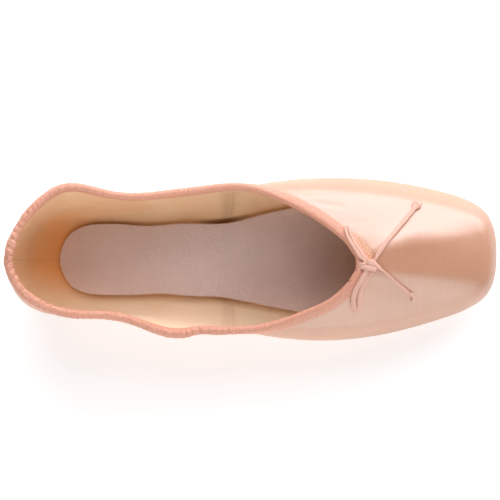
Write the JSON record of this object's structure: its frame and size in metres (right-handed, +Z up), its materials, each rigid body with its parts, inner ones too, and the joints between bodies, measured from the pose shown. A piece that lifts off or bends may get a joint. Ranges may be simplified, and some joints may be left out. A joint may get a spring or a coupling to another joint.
{
  "type": "pointe shoe",
  "caption": "Soft-sided dance shoe with a hardened square toe box, a small sole, an open collar with a gathered binding and a drawstring tied in a bow at the throat.",
  "frame": {"origin": "on the floor under the middle of the shoe's length and width, without the drawstring", "axes": "+X from heel to toe, +Y to the wearer's left, +Z up"},
  "size_m": [0.2305, 0.0775, 0.0515],
  "materials": {
    "satin": "peach-pink satin with a soft sheen, tan cotton inside",
    "binding_cotton": "matt cotton, gathered",
    "sole_leather": "matt undyed leather",
    "sock_cloth": "matt finely dotted cloth",
    "cord_cotton": "matt woven cotton"
  },
  "bodies": {
    "root": {"upper": "satin", "collar_binding": "binding_cotton", "outsole": "sole_leather", "insole": "sock_cloth", "drawstring_knot": "cord_cotton", "drawstring_loop_left": "cord_cotton", "drawstring_loop_right": "cord_cotton", "drawstring_end_left": "cord_cotton", "drawstring_end_right": "cord_cotton"}
  },
  "joints": []
}
